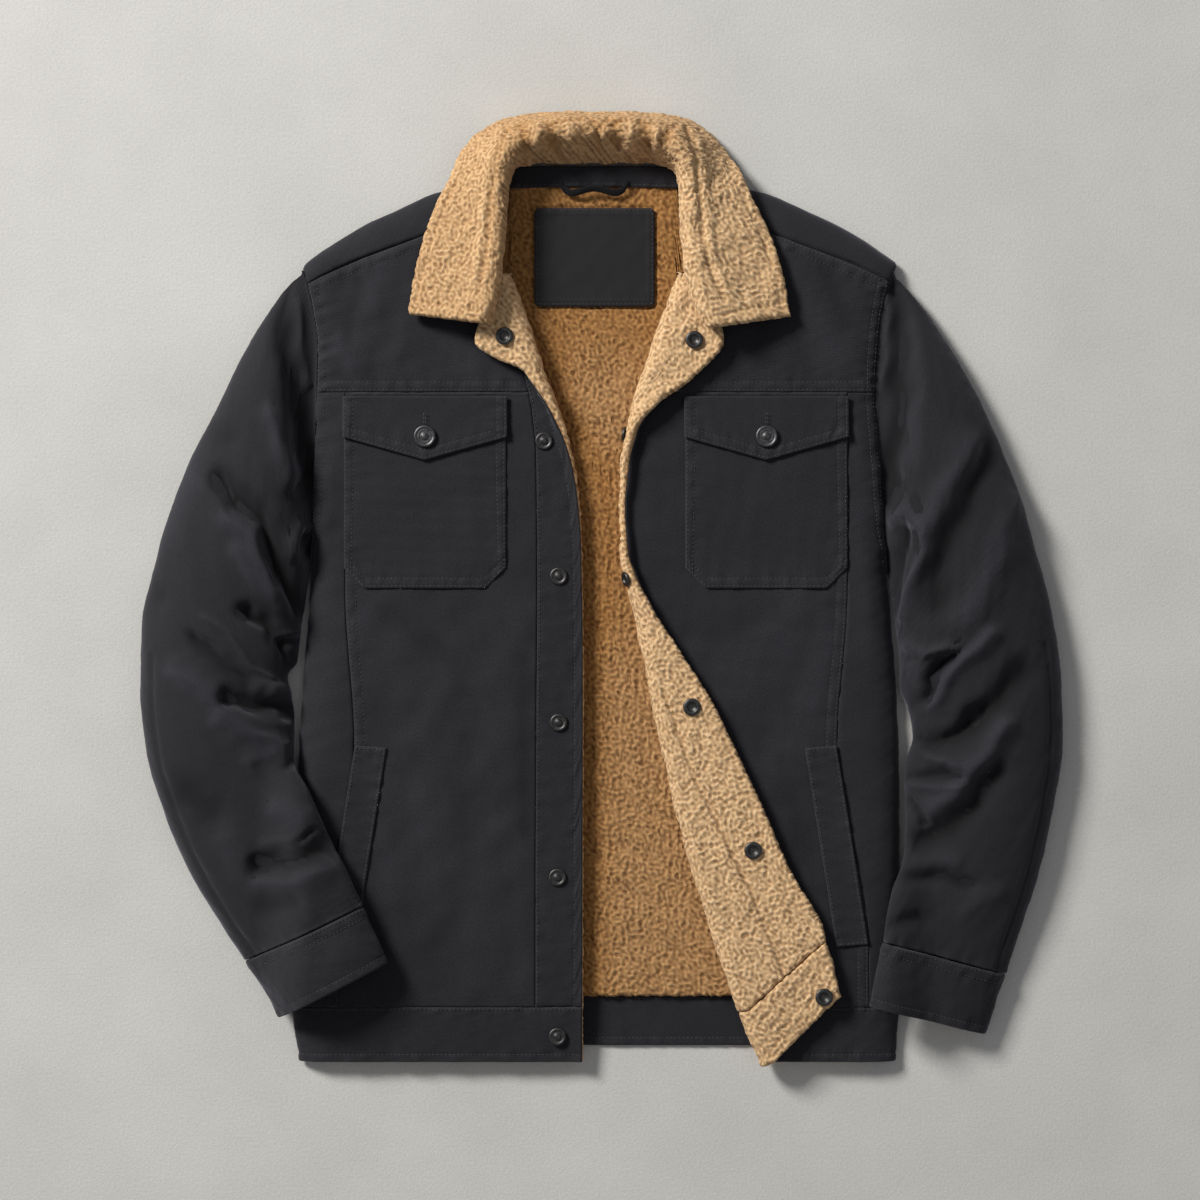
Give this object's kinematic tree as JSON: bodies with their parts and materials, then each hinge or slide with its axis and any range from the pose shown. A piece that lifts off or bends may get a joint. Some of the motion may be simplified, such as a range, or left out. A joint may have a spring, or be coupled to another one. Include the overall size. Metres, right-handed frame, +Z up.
{
  "type": "sherpa lined jacket",
  "caption": "Sherpa-lined trucker jacket lying flat and open: rolled collar, yoke, flap and welt pockets, press studs, hem band, cuffs.",
  "frame": {"origin": "middle of the footprint, on the surface that the jacket lies on", "axes": "+X towards the wearer's left sleeve, +Y towards the collar, +Z up from the surface"},
  "size_m": [0.758, 0.787, 0.0533],
  "materials": {
    "twill": "matte charcoal cotton twill",
    "sherpa": "curly camel sherpa fleece",
    "snap_metal": "satin gunmetal",
    "button_metal": "satin gunmetal",
    "label_cloth": "smooth near-black",
    "neck_tape": "matte near-black tape"
  },
  "bodies": {
    "root": {"back_panel": "twill", "hem_band_back": "twill", "placket_right": "twill", "placket_left_top": "twill", "collar_under": "twill", "shoulder_right": "twill", "yoke_right": "twill", "front_right_panel": "twill", "front_right_side": "twill", "hem_band_right": "twill", "sleeve_right_top": "twill", "sleeve_right_under": "twill", "cuff_right": "twill", "pocket_right": "twill", "flap_right": "twill", "welt_right": "twill", "shoulder_left": "twill", "yoke_left": "twill", "front_left_panel": "twill", "front_left_side": "twill", "hem_band_left": "twill", "sleeve_left_top": "twill", "sleeve_left_under": "twill", "cuff_left": "twill", "pocket_left": "twill", "flap_left": "twill", "welt_left": "twill", "back_lining": "sherpa", "front_right_lining": "sherpa", "front_left_lining": "sherpa", "hem_facing_left": "sherpa", "collar_upper": "sherpa", "cuff_right_lining": "sherpa", "cuff_left_lining": "sherpa", "flap_button_right": "button_metal", "snap_right_1": "snap_metal", "snap_right_2": "snap_metal", "snap_right_3": "snap_metal", "snap_right_4": "snap_metal", "snap_right_5": "snap_metal", "snap_right_6": "snap_metal", "flap_button_left": "button_metal", "snap_left_1": "snap_metal", "snap_left_2": "snap_metal", "snap_left_3": "snap_metal", "snap_left_4": "snap_metal", "snap_left_5": "snap_metal", "snap_left_6": "snap_metal", "neck_facing": "neck_tape", "hanging_loop": "neck_tape", "label": "label_cloth"}
  },
  "joints": []
}
